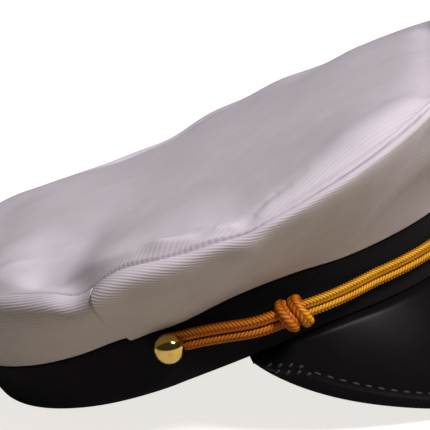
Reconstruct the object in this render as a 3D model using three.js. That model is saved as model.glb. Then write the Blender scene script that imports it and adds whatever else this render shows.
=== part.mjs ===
// A peaked sailor cap at its real size: a soft white crown over a black band, a glossy black peak, and a gold
// chin cord laid along the band between two brass side buttons.
//
// Millimetres, +Z up, the front faces -Y and the wearer's right is -X. The cap is built upright, with Z = 0 at
// the level of its rim, and is then tipped front-up until it stands on the edge of its peak and the back of its
// rim, as a cap does on a table. Places round the cap are given by their turn, in degrees: 0 at the front
// centre, 90 at the wearer's right, -90 at the left and 180 at the back.
import * as THREE from "three";

const DEG = Math.PI / 180;

// ---- Driving dimensions -------------------------------------------------------------------------------------

const GAP = 0.3; // between neighbouring pieces
const SEAM_GAP = 0.7; // under the top's edge, whose facets do not meet the side panels' column by column

// Ovals seen from above. Power 2 is an ellipse, less is leaner at the corners. A negative taper narrows the front.
const BAND_OVAL = { front: 101, back: 101, side: 82.5, power: 1.78, taper: -0.17, centreY: 0 };
const SEAM_OVAL = { front: 123, back: 132, side: 109.5, power: 2.09, taper: 0, centreY: -25 };

const BAND_WALL = 2.5;
const BAND_FLARE = 6.6; // how far the outer face leans out from the rim to the hem
const CLOTH = 1.6; // the crown's twill with its backing

// The rim's height and the height of band that shows above it, the same on the left and the right.
const BAND_HEIGHTS = [
  { turn: 0, rim: -1.5, shows: 24.5 },
  { turn: 25, rim: -1.0, shows: 24.0 },
  { turn: 38, rim: 0.2, shows: 23.4 },
  { turn: 48, rim: 1.8, shows: 23.0 },
  { turn: 58, rim: 3.0, shows: 24.4 },
  { turn: 70, rim: 2.8, shows: 25.4 },
  { turn: 84, rim: 2.5, shows: 23.4 },
  { turn: 98, rim: 1.5, shows: 25.3 },
  { turn: 110, rim: 0.6, shows: 23.5 },
  { turn: 122, rim: 0.2, shows: 22.0 },
  { turn: 140, rim: 0.0, shows: 21.0 },
  { turn: 180, rim: 0.0, shows: 20.5 },
];

// Height of the seam between the crown's top and sides: a mean, the front higher than the back, and the ends
// higher than the sides.
const SEAM_HEIGHT = { mean: 65, front: 13.5, ends: 6.1 };
const SEAM_DIPS = [
  { turn: 72, width: 14, rise: -2.2 },
  { turn: 97, width: 6, rise: 2.6 },
  { turn: 106.5, width: 4, rise: -3.0 },
  { turn: 125, width: 12, rise: 2.3 },
  { turn: -72, width: 28, rise: 2.9 },
  { turn: -125, width: 20, rise: -3.7 },
];

// The side panels' profile from the band to the seam: share of the height, share of the overhang, and how far
// the cloth puffs out past that line.
const SIDE_PROFILE = [
  { climb: 0.1, reach: 0.16, puff: 3.0 },
  { climb: 0.25, reach: 0.33, puff: 3.6 },
  { climb: 0.45, reach: 0.54, puff: 2.6 },
  { climb: 0.65, reach: 0.73, puff: 1.6 },
  { climb: 0.85, reach: 0.9, puff: 0.8 },
  { climb: 1, reach: 1, puff: 0 },
];
// Below that the cloth turns over the band's top edge and goes down inside it. Measured from that edge.
const TUCK_PROFILE = [
  { out: -BAND_WALL - GAP - 0.1 - CLOTH / 2, up: -9 },
  { out: -BAND_WALL - GAP - 0.1 - CLOTH / 2, up: 0.2 },
  { out: -BAND_WALL, up: 1.6 },
  { out: -0.6, up: 1.9 },
  { out: 1.6, up: 2.1 },
];
const SIDE_SEAM = { low: 96, high: 103.8 }; // turn of the upright seams, at the band and at the top

// Dents and folds of the top: where they lie, the compass heading of their length (0 along +X), half length,
// half width and height.
const TOP_FOLDS = [
  { x: -98, y: 10, heading: -60, long: 20, wide: 9, rise: -4 }, // hollow inside the right side seam
  { x: -66, y: 46, heading: 29, long: 34, wide: 9, rise: 2.5 }, // soft ridge behind it
  { x: -100, y: -51, heading: 0, long: 17, wide: 7, rise: -2.5 }, // pinch over the right temple
  { x: -20, y: 12, heading: 30, long: 80, wide: 22, rise: -3 }, // broad valley across the middle
  { x: 12, y: -42, heading: 25, long: 80, wide: 22, rise: 3 }, // broad ridge in front of it
];

const PEAK = {
  halfTurn: 70.3, // its corners, round the rim
  length: 61.5, // at the front centre
  slope: 63.6, // below the level of the rim, from root to edge
  bend: 16, // how much steeper the edge is than the root
  fullness: 2.8, // the share of its width that keeps nearly its full length grows with this
  rounding: 0.59, // 0.5 is an ellipse's corner, more is more pointed
  splay: 0.14, // how far the corners turn outwards, as a share of their turn
  wall: 2.2,
  border: 5.5, // raised edge
  borderRise: 0.5,
  lip: 7, // height of the lip inside the band
};

const CORD = { side: 3.9, front: 3.1, thinFrom: 65, thinTo: 57 }; // diameters by the buttons and in front
// Height of the cord's middle above the rim.
const CORD_HEIGHTS = [
  { turn: 0, height: 13.0 },
  { turn: 23, height: 12.4 },
  { turn: 44, height: 12.3 },
  { turn: 54, height: 13.2 },
  { turn: 68, height: 13.4 },
  { turn: 75, height: 15.0 },
  { turn: 82, height: 16.8 },
  { turn: 90, height: 19.0 },
];
const BUTTON = { turn: 87, radius: 5.9, dome: 4.4, skirt: 1.0, post: 1.2 };
const KNOT = { turn: 61.5, halfTurn: 5, wraps: 2, cord: 3.4, lean: 3.2 };

// Steps of the faceted shapes.
const COLUMN = 5; // degrees of turn
const TOP_RINGS = 9;
const PEAK_COLUMNS = 36;
const BORDER_ROWS = 3; // the peak's outermost rows, which its border raises
const CORD_SIDES = 8;
const CORD_STEP = 2; // degrees of turn

const COLOURS = {
  twill: { color: 0xe9e6ea, roughness: 0.85, metalness: 0 },
  band: { color: 0x111113, roughness: 0.9, metalness: 0 },
  vinyl: { color: 0x0b0b0d, roughness: 0.2, metalness: 0 },
  gold: { color: 0xc8862a, roughness: 0.55, metalness: 0 },
  brass: { color: 0xb8924a, roughness: 0.2, metalness: 1 },
};

// ---- Small helpers ------------------------------------------------------------------------------------------

const vector = (x, y, z) => new THREE.Vector3(x, y, z);
const mix = (a, b, share) => a + (b - a) * share;

// Turns from one angle to another in equal steps, both ends included.
function steps(from, to, size) {
  const count = Math.round((to - from) / size);
  return Array.from({ length: count + 1 }, (_, i) => mix(from, to, i / count));
}

// A smooth value from a table whose rows stand at rising turns from 0, mirrored left to right.
function read(rows, column, turn) {
  const last = rows.length - 1;
  const at = Math.min(Math.abs(THREE.MathUtils.euclideanModulo(turn + 180, 360) - 180), rows[last].turn);
  const high = Math.max(1, rows.findIndex((row) => row.turn >= at));
  const slope = (i) => {
    if (i === 0 || i === last) return 0;
    return (rows[i + 1][column] - rows[i - 1][column]) / (rows[i + 1].turn - rows[i - 1].turn);
  };
  const span = rows[high].turn - rows[high - 1].turn;
  const u = (at - rows[high - 1].turn) / span;
  const start = (2 * u ** 3 - 3 * u ** 2 + 1) * rows[high - 1][column];
  const end = (3 * u ** 2 - 2 * u ** 3) * rows[high][column];
  const leave = (u ** 3 - 2 * u ** 2 + u) * span * slope(high - 1);
  const arrive = (u ** 3 - u ** 2) * span * slope(high);
  return start + end + leave + arrive;
}

// A point of an oval at a turn, moved out by some millimetres.
function ovalPoint(oval, turn, out = 0) {
  const bow = (value) => Math.sign(value) * Math.abs(value) ** (2 / oval.power);
  const ahead = Math.cos(turn * DEG);
  const aside = Math.sin(turn * DEG);
  const long = ahead > 0 ? oval.front : oval.back;
  const x = -(oval.side + out) * bow(aside) * (1 + oval.taper * ahead);
  return vector(x, oval.centreY - (long + out) * bow(ahead), 0);
}

// The level direction that points straight out of an oval at a turn.
function ovalNormal(oval, turn) {
  const along = ovalPoint(oval, turn + 0.5).sub(ovalPoint(oval, turn - 0.5));
  return vector(-along.y, along.x, 0).normalize();
}

// ---- Closed meshes ------------------------------------------------------------------------------------------

// A closed geometry from triangles. Ones that have shrunk to a line are dropped, and the faces point out.
function closedGeometry(triangles) {
  const kept = triangles.filter(([a, b, c]) => {
    return a.distanceTo(b) > 1e-3 && b.distanceTo(c) > 1e-3 && c.distanceTo(a) > 1e-3;
  });
  const volume = kept.reduce((sum, [a, b, c]) => sum + a.dot(b.clone().cross(c)), 0);
  const turned = volume < 0 ? kept.map(([a, b, c]) => [a, c, b]) : kept;
  const geometry = new THREE.BufferGeometry().setFromPoints(turned.flat());
  geometry.computeVertexNormals();
  return geometry;
}

// Two triangles for each cell between neighbouring rows of points.
function gridTriangles(grid, closed) {
  const triangles = [];
  const columns = closed ? grid.length : grid.length - 1;
  for (let c = 0; c < columns; c += 1) {
    const here = grid[c];
    const next = grid[(c + 1) % grid.length];
    for (let r = 0; r + 1 < here.length; r += 1) {
      triangles.push([here[r], here[r + 1], next[r + 1]], [here[r], next[r + 1], next[r]]);
    }
  }
  return triangles;
}

// The direction square to a grid of points at each of them.
function gridNormals(grid, closed) {
  const columns = grid.length;
  return grid.map((points, c) => {
    const before = grid[closed ? (c + columns - 1) % columns : Math.max(c - 1, 0)];
    const after = grid[closed ? (c + 1) % columns : Math.min(c + 1, columns - 1)];
    return points.map((_, r) => {
      const across = after[r].clone().sub(before[r]);
      const up = points[Math.min(r + 1, points.length - 1)].clone().sub(points[Math.max(r - 1, 0)]);
      return up.cross(across).normalize();
    });
  });
}

// A wall of even thickness about the middle surface that the grid's columns give. lift adds to its outer face.
function wallGeometry(grid, thickness, { closed = false, normals = gridNormals(grid, closed), lift = () => 0 } = {}) {
  const face = (side) => {
    return grid.map((points, c) => points.map((point, r) => {
      const distance = side * thickness / 2 + (side > 0 ? lift(c, r) : 0);
      return point.clone().addScaledVector(normals[c][r], distance);
    }));
  };
  // Each column goes up the outer face and down the inner one, and comes back to where it began.
  const inner = face(-1);
  const loops = face(1).map((outer, c) => [...outer, ...inner[c].slice().reverse(), outer[0]]);
  const triangles = gridTriangles(loops, closed);
  if (!closed) {
    triangles.push(...endTriangles(loops[0]), ...endTriangles(loops[loops.length - 1]).map((t) => t.reverse()));
  }
  return closedGeometry(triangles);
}

// The flat end of an open wall, a ladder between its two faces.
function endTriangles(loop) {
  const rungs = (loop.length - 1) / 2;
  const triangles = [];
  for (let r = 0; r + 1 < rungs; r += 1) {
    const [a, b] = [loop[r], loop[r + 1]];
    const [d, e] = [loop[2 * rungs - 1 - r], loop[2 * rungs - 2 - r]];
    triangles.push([a, d, e], [a, e, b]);
  }
  return triangles;
}

// A round tube through a list of places, each with its point, a direction to stand off in, and its radius.
function tubeGeometry(places, closed) {
  const count = places.length;
  const rings = places.map((place, i) => {
    const before = places[closed ? (i + count - 1) % count : Math.max(i - 1, 0)].point;
    const after = places[closed ? (i + 1) % count : Math.min(i + 1, count - 1)].point;
    const ahead = after.clone().sub(before).normalize();
    const aside = ahead.clone().cross(place.out).normalize();
    const off = aside.clone().cross(ahead);
    const ring = steps(0, 360, 360 / CORD_SIDES).map((angle) => {
      const point = place.point.clone().addScaledVector(off, place.radius * Math.cos(angle * DEG));
      return point.addScaledVector(aside, place.radius * Math.sin(angle * DEG));
    });
    ring[CORD_SIDES] = ring[0];
    return ring;
  });
  const triangles = gridTriangles(rings, closed);
  if (!closed) {
    const cap = (ring, middle) => steps(0, CORD_SIDES - 1, 1).map((i) => [middle, ring[i], ring[i + 1]]);
    triangles.push(...cap(rings[0], places[0].point).map((t) => t.reverse()));
    triangles.push(...cap(rings[count - 1], places[count - 1].point));
  }
  return closedGeometry(triangles);
}

// ---- The band -----------------------------------------------------------------------------------------------

const rimHeight = (turn) => read(BAND_HEIGHTS, "rim", turn);
const hemHeight = (turn) => rimHeight(turn) + read(BAND_HEIGHTS, "shows", turn);

// A point on the band's outer face, some millimetres above the rim, and then off that face.
function bandPoint(turn, above, off = 0) {
  const out = BAND_FLARE * above / read(BAND_HEIGHTS, "shows", turn);
  const point = ovalPoint(BAND_OVAL, turn, out).addScaledVector(ovalNormal(BAND_OVAL, turn), off);
  return point.setZ(rimHeight(turn) + above);
}

// The direction square to the band's outer face, which leans out upwards.
function bandFacing(turn) {
  return ovalNormal(BAND_OVAL, turn).setZ(-BAND_FLARE / read(BAND_HEIGHTS, "shows", turn)).normalize();
}

function bandGeometry() {
  const grid = steps(0, 360 - COLUMN, COLUMN).map((turn) => {
    const height = read(BAND_HEIGHTS, "shows", turn);
    return [0, height / 2, height].map((above) => bandPoint(turn, above, -BAND_WALL / 2));
  });
  const normals = grid.map((points, c) => points.map(() => ovalNormal(BAND_OVAL, c * COLUMN)));
  return wallGeometry(grid, BAND_WALL, { closed: true, normals });
}

// ---- The crown ----------------------------------------------------------------------------------------------

function seamHeight(turn) {
  const { mean, front, ends } = SEAM_HEIGHT;
  const waves = mean + front * Math.cos(turn * DEG) + ends * Math.cos(2 * turn * DEG);
  return SEAM_DIPS.reduce((height, dip) => {
    const away = THREE.MathUtils.euclideanModulo(turn - dip.turn + 180, 360) - 180;
    return height + dip.rise * Math.exp(-((away / dip.width) ** 2));
  }, waves);
}

// The height that the top's folds add at a place.
function foldHeight(x, y) {
  return TOP_FOLDS.reduce((height, fold) => {
    const [c, s] = [Math.cos(fold.heading * DEG), Math.sin(fold.heading * DEG)];
    const lengthwise = ((x - fold.x) * c + (y - fold.y) * s) / fold.long;
    const crosswise = ((y - fold.y) * c - (x - fold.x) * s) / fold.wide;
    return height + fold.rise * Math.exp(-(lengthwise ** 2) - crosswise ** 2);
  }, 0);
}

// The top's outer face, reach 1 at the seam and 0 at its middle. It hangs between the heights of the seam as a
// film does, so the mean, the slope and the saddle fade inwards at their own rates.
function topPoint(turn, reach) {
  const edge = ovalPoint(SEAM_OVAL, turn);
  const point = vector(edge.x * reach, mix(SEAM_OVAL.centreY, edge.y, reach), 0);
  const { mean, front, ends } = SEAM_HEIGHT;
  const film = mean + reach * front * Math.cos(turn * DEG) + reach ** 2 * ends * Math.cos(2 * turn * DEG);
  const pulled = seamHeight(turn) - (mean + front * Math.cos(turn * DEG) + ends * Math.cos(2 * turn * DEG));
  const inside = 1 - reach ** 6;
  return point.setZ(film + pulled * reach ** 5 + foldHeight(point.x, point.y) * inside);
}

function crownTopGeometry() {
  const reaches = Array.from({ length: TOP_RINGS + 1 }, (_, i) => Math.cos(i / TOP_RINGS * 90 * DEG) ** 0.9);
  reaches[TOP_RINGS] = 0;
  const grid = steps(0, 360 - COLUMN, COLUMN).map((turn) => {
    return reaches.map((reach) => topPoint(turn, reach).add(vector(0, 0, -CLOTH / 2)));
  });
  const normals = grid.map((points) => points.map(() => vector(0, 0, 1)));
  return wallGeometry(grid, CLOTH, { closed: true, normals });
}

// One column of a side panel, from the tuck inside the band to just under the top.
function sideColumn(turn) {
  const shows = read(BAND_HEIGHTS, "shows", turn);
  const hem = bandPoint(turn, shows);
  const out = ovalNormal(BAND_OVAL, turn);
  const tuck = TUCK_PROFILE.map((row) => {
    const lean = BAND_FLARE / shows * Math.min(row.up, 0); // inside the band the cloth leans as the band does
    return hem.clone().addScaledVector(out, row.out + lean).setZ(hem.z + row.up);
  });
  const start = tuck[tuck.length - 1];
  const edge = ovalPoint(SEAM_OVAL, turn).addScaledVector(ovalNormal(SEAM_OVAL, turn), -CLOTH / 2);
  const end = edge.setZ(seamHeight(turn) - CLOTH - SEAM_GAP);
  const panel = SIDE_PROFILE.map((row) => {
    const point = vector(mix(start.x, end.x, row.reach), mix(start.y, end.y, row.reach), 0);
    return point.addScaledVector(out, row.puff).setZ(mix(start.z, end.z, row.climb));
  });
  return [...tuck, ...panel];
}

// A side panel between two upright seams, each given by its turn at the band and at the top.
function sidePanelGeometry(from, to) {
  const half = GAP / 2 / 100 / DEG; // half the gap, as a turn at about the seam's radius
  const columns = Math.round((to.low - from.low) / COLUMN);
  const grid = Array.from({ length: columns + 1 }, (_, c) => {
    const low = sideColumn(mix(from.low + half, to.low - half, c / columns));
    const high = sideColumn(mix(from.high + half, to.high - half, c / columns));
    return low.map((point, r) => point.lerp(high[r], Math.max(0, r - TUCK_PROFILE.length + 1) / SIDE_PROFILE.length));
  });
  const normals = gridNormals(grid, false);
  normals.forEach((column) => column[column.length - 1].setZ(0).normalize()); // a level edge under the top
  return wallGeometry(grid, CLOTH, { normals });
}

// ---- The peak -----------------------------------------------------------------------------------------------

// One column of the peak's middle surface, at a share from one corner (-1) to the other (1).
function peakColumn(share) {
  const turn = PEAK.halfTurn * share;
  const length = PEAK.length * (1 - Math.abs(share) ** PEAK.fullness) ** PEAK.rounding;
  const border = Math.min(PEAK.border, 0.6 * length);
  const rim = ovalPoint(BAND_OVAL, turn).setZ(rimHeight(turn));
  const out = ovalNormal(BAND_OVAL, turn);
  const half = PEAK.wall / 2;
  const inside = -BAND_WALL - GAP - half - 0.1;
  const held = [[inside, PEAK.lip], [inside, 0], [inside + 0.9, -half - 0.4], [-1, -half - 0.8], [0.2, -half - 1.2]];
  const points = held.map(([off, up]) => rim.clone().addScaledVector(out, off).setZ(rim.z + up));
  const ahead = vector(-Math.sin(PEAK.splay * turn * DEG), -Math.cos(PEAK.splay * turn * DEG), 0);
  const field = length - border;
  const stations = [0.2, 0.45, 0.7, 1].map((part) => part * field);
  stations.push(field + 0.12 * border, length - 0.2 * border, length);
  const root = points[points.length - 1];
  stations.forEach((distance) => {
    // The peak bends evenly from root to edge, so the chord to a station slopes by the mean of the two ends.
    const slope = (PEAK.slope + PEAK.bend / 2 * (distance / PEAK.length - 1)) * DEG;
    const point = root.clone().addScaledVector(ahead, distance * Math.cos(slope));
    points.push(point.setZ(root.z - distance * Math.sin(slope)));
  });
  return points;
}

function peakGeometry() {
  const ends = 0.985; // the corners stop just short of nothing
  const grid = Array.from({ length: PEAK_COLUMNS + 1 }, (_, c) => {
    return peakColumn(Math.sin(mix(-ends, ends, c / PEAK_COLUMNS) * 90 * DEG));
  });
  grid.forEach((points) => points.reverse()); // upwards, as the other walls go
  const lift = (column, row) => (row < BORDER_ROWS ? PEAK.borderRise : 0);
  return wallGeometry(grid, PEAK.wall, { lift });
}

// ---- The chin cord, its knots and its buttons ---------------------------------------------------------------

const cordHeight = (turn) => read(CORD_HEIGHTS, "height", turn);

function cordRadius(turn) {
  const share = THREE.MathUtils.clamp((CORD.thinFrom - Math.abs(turn)) / (CORD.thinFrom - CORD.thinTo), 0, 1);
  return mix(CORD.side, CORD.front, share) / 2;
}

// Millimetres along the band for one degree of turn, at the height of the cord.
function reachPerDegree(turn) {
  return bandPoint(turn + 0.5, cordHeight(turn + 0.5)).distanceTo(bandPoint(turn - 0.5, cordHeight(turn - 0.5)));
}

// A place on the strap that the two strands form: how far above its middle, and how far off the band.
function strapPlace(turn, above, off, radius) {
  const out = bandFacing(turn);
  return { point: bandPoint(turn, cordHeight(turn) + above).addScaledVector(out, off), out, radius };
}

// At a knot the strands stand off the band, because the wraps pass behind them.
function strapLift(turn) {
  const away = Math.abs(Math.abs(turn) - KNOT.turn);
  return GAP + (KNOT.cord + GAP) * (1 - THREE.MathUtils.smoothstep(away, KNOT.halfTurn, 3 * KNOT.halfTurn));
}

function chinCordGeometry() {
  const eye = BUTTON.post + 2 * GAP + CORD.side / 2; // radius of the cord's bend round a button's post
  const apart = (turn) => {
    const far = THREE.MathUtils.smoothstep(Math.abs(turn), BUTTON.turn - 9, BUTTON.turn - 1.5);
    return mix(cordRadius(turn) + GAP / 2, eye, far);
  };
  const strand = (side) => (turn) => {
    const radius = cordRadius(turn);
    return strapPlace(turn, side * apart(turn), strapLift(turn) + radius, radius);
  };
  const bend = (side) => (angle) => {
    const turn = side * (BUTTON.turn + eye * Math.cos(angle * DEG) / reachPerDegree(BUTTON.turn));
    return strapPlace(turn, side * eye * Math.sin(angle * DEG), GAP + CORD.side / 2, CORD.side / 2);
  };
  const span = steps(-BUTTON.turn, BUTTON.turn, CORD_STEP);
  const places = [
    ...span.map(strand(1)),
    ...steps(60, -60, -30).map(bend(1)),
    ...span.slice().reverse().map(strand(-1)),
    ...steps(60, -60, -30).map(bend(-1)),
  ];
  return tubeGeometry(places, true);
}

// Slanting wraps round both strands, one behind the other, as one wound cord with its ends tucked in behind.
function knotGeometry(side) {
  const radius = KNOT.cord / 2;
  const thick = cordRadius(KNOT.turn + KNOT.halfTurn); // the thickest that the strands are under the knot
  const strand = { radius: thick, apart: thick + GAP / 2 };
  const deep = strand.radius + GAP + radius;
  const middle = KNOT.cord + 2 * GAP + strand.radius;
  const perDegree = reachPerDegree(KNOT.turn);
  const angles = steps(-150, 360 * (KNOT.wraps - 1) + 150, 30);
  const places = angles.map((angle) => {
    const progress = angle / 360 - (KNOT.wraps - 1) / 2;
    const along = progress * (KNOT.cord + GAP) - KNOT.lean * Math.sin(angle * DEG);
    const above = strand.apart * THREE.MathUtils.clamp(2 * Math.sin(angle * DEG), -1, 1) + deep * Math.sin(angle * DEG);
    const off = middle + deep * Math.cos(angle * DEG);
    return strapPlace(side * (KNOT.turn - along / perDegree), above, off, radius);
  });
  places.forEach((place, i) => {
    // Inside a wrap, "out" points away from the strands.
    const angle = angles[i] * DEG;
    place.out = place.out.clone().multiplyScalar(Math.cos(angle)).add(vector(0, 0, Math.sin(angle)));
  });
  return tubeGeometry(places, false);
}

// A domed button turned about its own axis, with a post that ends just short of the band.
function buttonGeometry() {
  const back = CORD.side + 2 * GAP; // the back of the dome stands clear of the cord's bend
  const dome = steps(0, 90, 15).map((angle) => {
    return [BUTTON.radius * Math.cos(angle * DEG), back + BUTTON.skirt + BUTTON.dome * Math.sin(angle * DEG)];
  });
  dome[dome.length - 1][0] = 0;
  const outline = [[0, GAP], [BUTTON.post, GAP], [BUTTON.post, back], [BUTTON.radius, back], ...dome];
  const points = outline.map(([radius, height]) => new THREE.Vector2(radius, height));
  return new THREE.LatheGeometry(points, 24);
}

// ---- The cap ------------------------------------------------------------------------------------------------

const cap = new THREE.Group();

function add(name, geometry, finish) {
  const mesh = new THREE.Mesh(geometry, new THREE.MeshStandardMaterial(finish));
  mesh.name = name;
  cap.add(mesh);
  return mesh;
}

const right = SIDE_SEAM;
const left = { low: -SIDE_SEAM.low, high: -SIDE_SEAM.high };
const roundTheBack = { low: left.low + 360, high: left.high + 360 };

add("crown_top", crownTopGeometry(), COLOURS.twill);
add("crown_side_front", sidePanelGeometry(left, right), COLOURS.twill);
add("crown_side_back", sidePanelGeometry(right, roundTheBack), COLOURS.twill);
const band = add("band", bandGeometry(), COLOURS.band);
const peak = add("peak", peakGeometry(), COLOURS.vinyl);
add("chin_cord", chinCordGeometry(), COLOURS.gold);
add("knot_right", knotGeometry(1), COLOURS.gold);
add("knot_left", knotGeometry(-1), COLOURS.gold);

for (const [name, side] of [["button_right", 1], ["button_left", -1]]) {
  const button = add(name, buttonGeometry(), COLOURS.brass);
  const seat = bandPoint(side * BUTTON.turn, cordHeight(BUTTON.turn));
  button.position.copy(seat);
  button.quaternion.setFromUnitVectors(vector(0, 1, 0), bandFacing(side * BUTTON.turn));
}

// ---- How it stands ------------------------------------------------------------------------------------------

// The lowest height of a mesh once the cap is tipped front-up by an angle.
function lowest(mesh, tip) {
  const points = mesh.geometry.attributes.position;
  let height = Infinity;
  for (let i = 0; i < points.count; i += 1) {
    height = Math.min(height, points.getZ(i) * Math.cos(tip) - points.getY(i) * Math.sin(tip));
  }
  return height;
}

// Halving finds the tip at which the peak's edge and the back of the rim come level.
let [tooLittle, tooMuch] = [0, 30 * DEG];
for (let i = 0; i < 40; i += 1) {
  const tip = (tooLittle + tooMuch) / 2;
  if (lowest(peak, tip) < lowest(band, tip)) tooLittle = tip;
  else tooMuch = tip;
}
cap.rotation.x = -tooMuch;

// The origin is at the middle of the cap's footprint, on the surface that it stands on.
const root = new THREE.Group();
root.name = "peaked_sailor_cap";
root.add(cap);
root.updateMatrixWorld(true);
const box = new THREE.Box3().setFromObject(root, true);
cap.position.set(-(box.min.x + box.max.x) / 2, -(box.min.y + box.max.y) / 2, -box.min.z);

export default root;
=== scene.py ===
# %% [markdown]
# # A peaked sailor cap
#
# The imported CAD model gives this cap its size and its place: it stands on a surface on the edge of its peak and
# the back of its rim. Here every CAD solid is replaced by a finely shaped piece with a material of its own:
# white cotton twill for the crown, a black mohair band, a glossy moulded peak, a knitted gold chin cord with two
# sliding knots, and two brass buttons.
#
# The first cell loads the model.

import math

import bmesh
import bpy
import numpy as np
from mathutils import Matrix, Vector


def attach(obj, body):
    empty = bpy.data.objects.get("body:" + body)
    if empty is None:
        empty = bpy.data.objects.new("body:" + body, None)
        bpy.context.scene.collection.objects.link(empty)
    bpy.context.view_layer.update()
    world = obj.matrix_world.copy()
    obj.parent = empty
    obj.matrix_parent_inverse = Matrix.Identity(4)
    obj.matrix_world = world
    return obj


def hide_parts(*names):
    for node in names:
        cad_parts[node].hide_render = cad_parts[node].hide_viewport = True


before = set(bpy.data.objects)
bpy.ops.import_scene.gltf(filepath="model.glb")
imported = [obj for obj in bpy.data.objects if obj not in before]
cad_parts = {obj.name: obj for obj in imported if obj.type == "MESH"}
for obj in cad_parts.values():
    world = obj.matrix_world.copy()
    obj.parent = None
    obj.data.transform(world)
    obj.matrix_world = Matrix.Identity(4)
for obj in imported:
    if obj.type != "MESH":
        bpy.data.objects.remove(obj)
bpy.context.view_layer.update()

# %% [markdown]
# ## How the cap is measured
#
# A cap maker measures round the head and up from the rim, with the cap upright. So does this script: a place is
# given by its turn in degrees (0 at the front centre, 90 at the wearer's right, 180 at the back) and by
# millimetres. Only at the very end are the points tipped to the pose in which the cap stands, and turned into
# metres. The ovals and the band's heights are the CAD model's own, so each piece lies where its solid lies; only
# the cord and the buttons sit a millimetre or two higher in places.

# %% Sizes of the cap, in millimetres
TIP = math.radians(14.6438)  # how far the cap leans back to stand on its peak and the back of its rim
LIFT = np.array([0.0, 11.2546, 25.5338])  # where the upright cap's origin goes

BAND_OVAL = dict(front=101, back=101, side=82.5, power=1.78, taper=-0.17, centre=0)
SEAM_OVAL = dict(front=123, back=132, side=109.5, power=2.09, taper=0, centre=-25)
BAND_WALL = 2.5
BAND_FLARE = 6.6  # how far the band's upper edge stands out beyond its rim
GAP = 0.3  # between neighbouring pieces
UP = np.array([0, 0, 1.0])

# turn, height of the rim, height of band that shows above the rim
BAND_HEIGHTS = np.array([
    (0, -1.5, 24.5), (25, -1.0, 24.0), (38, 0.2, 23.4), (48, 1.8, 23.0), (58, 3.0, 24.4), (70, 2.8, 25.4),
    (84, 2.5, 23.4), (98, 1.5, 25.3), (110, 0.6, 23.5), (122, 0.2, 22.0), (140, 0.0, 21.0), (180, 0.0, 20.5)])


# %% Helpers that read a table and an oval
def from_front(turn):
    """A turn between -180 and 180 degrees, below 0 on the wearer's left."""
    return (np.asarray(turn, float) + 180) % 360 - 180


def read(table, column, turn):
    """A smooth value from a table whose first column is the turn, the same on the left and the right."""
    x, y = table[:, 0], table[:, column]
    at = np.clip(np.abs(from_front(turn)), x[0], x[-1])
    slope = np.zeros(len(x))
    slope[1:-1] = (y[2:] - y[:-2]) / (x[2:] - x[:-2])
    high = np.clip(np.searchsorted(x, at), 1, len(x) - 1)
    low = high - 1
    span = x[high] - x[low]
    u = (at - x[low]) / span
    return ((2 * u**3 - 3 * u**2 + 1) * y[low] + (3 * u**2 - 2 * u**3) * y[high]
            + (u**3 - 2 * u**2 + u) * span * slope[low] + (u**3 - u**2) * span * slope[high])


def oval_point(oval, turn, out=0.0):
    """Points of an oval, flat at height 0, as an array of (x, y, 0)."""
    turn = np.radians(np.asarray(turn, float))
    bow = lambda v: np.sign(v) * np.abs(v) ** (2 / oval["power"])
    ahead, aside = np.cos(turn), np.sin(turn)
    long = np.where(ahead > 0, oval["front"], oval["back"])
    x = -(oval["side"] + out) * bow(aside) * (1 + oval["taper"] * ahead)
    y = oval["centre"] - (long + out) * bow(ahead)
    return np.stack([x, y, np.zeros_like(x)], -1)


def unit(vectors):
    """The same directions with a length of 1."""
    return vectors / np.maximum(np.linalg.norm(vectors, axis=-1, keepdims=True), 1e-9)


def oval_normal(oval, turn):
    """The level direction that points straight out of an oval."""
    turn = np.asarray(turn, float)
    along = oval_point(oval, turn + 0.5) - oval_point(oval, turn - 0.5)
    return unit(np.stack([-along[..., 1], along[..., 0], np.zeros_like(along[..., 0])], -1))


def lifted(points, height):
    """The same points at these heights."""
    raised = np.array(points, float)
    raised[..., 2] = height
    return raised


def placed(points):
    """Upright millimetres become metres in the pose in which the cap stands."""
    x, y, z = np.moveaxis(np.asarray(points, float), -1, 0)
    c, s = math.cos(TIP), math.sin(TIP)
    return (np.stack([x, y * c + z * s, z * c - y * s], -1) + LIFT) / 1000


def lengths_along(points, axis=0):
    """How far along its line each point lies, for lines of points that run along this axis."""
    steps = np.diff(points, axis=axis, prepend=np.take(points, [0], axis=axis))
    return np.cumsum(np.linalg.norm(steps, axis=-1), axis=axis)


print("band, once round its rim: %.0f mm" % lengths_along(oval_point(BAND_OVAL, np.arange(0, 361)))[-1])


# %% [markdown]
# ## Walls of cloth
#
# Cloth is a thin wall, so a panel is a grid of points for its outer face, a second grid one thickness inside it,
# and a strip that joins the two all round the edge. The grid also carries a flat pattern: each point's place on
# the cloth before it was sewn, which becomes the UV map. The twill's ribs then run straight along the grain of
# each panel, as they do on cut cloth, however the panel is bent.

# %% Helpers that turn grids into meshes
def grid_normals(grid, closed):
    """Directions square to a grid (columns, rows, 3), pointing to the side that the walls call outside."""
    across = np.empty_like(grid)
    across[1:-1] = grid[2:] - grid[:-2]
    across[0] = grid[1] - grid[-1 if closed else 0]
    across[-1] = grid[0 if closed else -1] - grid[-2]
    return unit(np.cross(np.gradient(grid, axis=1), across))


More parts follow.
